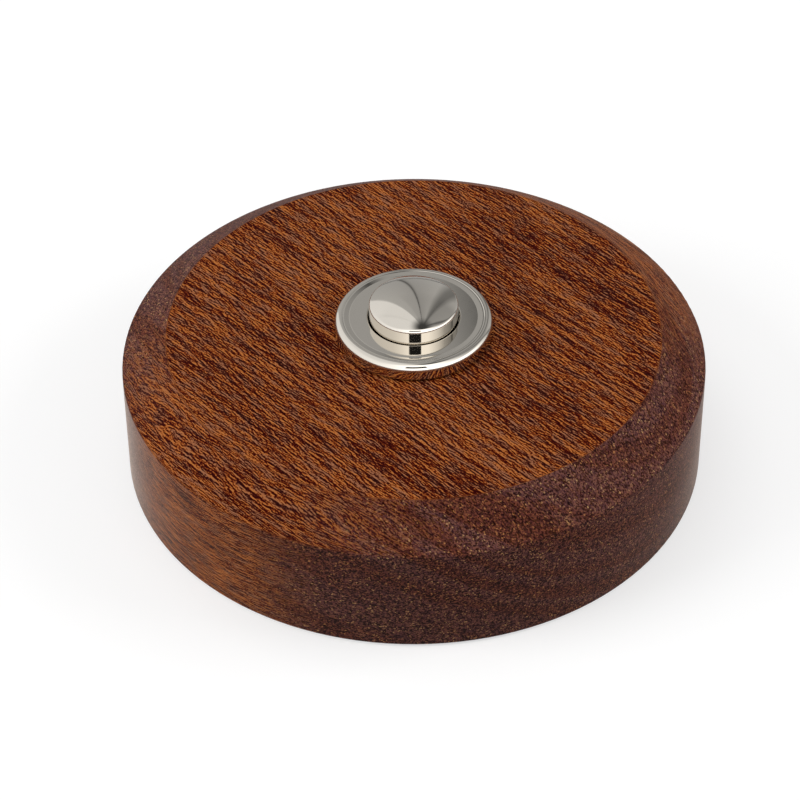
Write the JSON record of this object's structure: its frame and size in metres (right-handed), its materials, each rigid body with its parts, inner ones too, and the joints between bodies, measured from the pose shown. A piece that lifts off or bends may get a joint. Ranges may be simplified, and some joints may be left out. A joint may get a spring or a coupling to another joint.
{
  "type": "doorbell button",
  "caption": "Round turned hardwood doorbell push with a sloping rim and a domed nickel button in a flanged bezel, sprung above its electrical contacts.",
  "frame": {"origin": "centre of the flat back face, on the button's axis", "axes": "+Z out of the front along the button's axis, +Y up on the wall, +X to the right seen from the front"},
  "size_m": [0.08, 0.08, 0.0268],
  "materials": {
    "wood": "oiled open-grained hardwood, satin",
    "nickel": "polished nickel plate",
    "brass": "turned, bare",
    "steel": "bright zinc or stainless",
    "phenolic": "moulded, dull",
    "rubber": "cut sheet rubber"
  },
  "bodies": {
    "housing": {"wooden_disc": "wood", "bezel": "nickel", "seal_ring": "rubber", "clamp_washer": "steel", "clamp_nut": "brass", "return_spring": "steel", "contact_block": "phenolic", "contact_rivet_1": "brass", "terminal_tab_1": "brass", "wire_washer_1": "brass", "terminal_screw_1": "brass", "contact_rivet_2": "brass", "terminal_tab_2": "brass", "wire_washer_2": "brass", "terminal_screw_2": "brass"},
    "plunger": {"push_button": "nickel", "plunger_stem": "phenolic", "contact_bridge": "brass"}
  },
  "joints": [
    {"name": "button_press", "type": "slide", "parent": "housing", "child": "plunger", "axis": [0, 0, -1], "range_m": [0, 0.0015], "stiffness_N_per_m": 700, "springref_m": -0.0025, "deforming": ["return_spring"]}
  ]
}
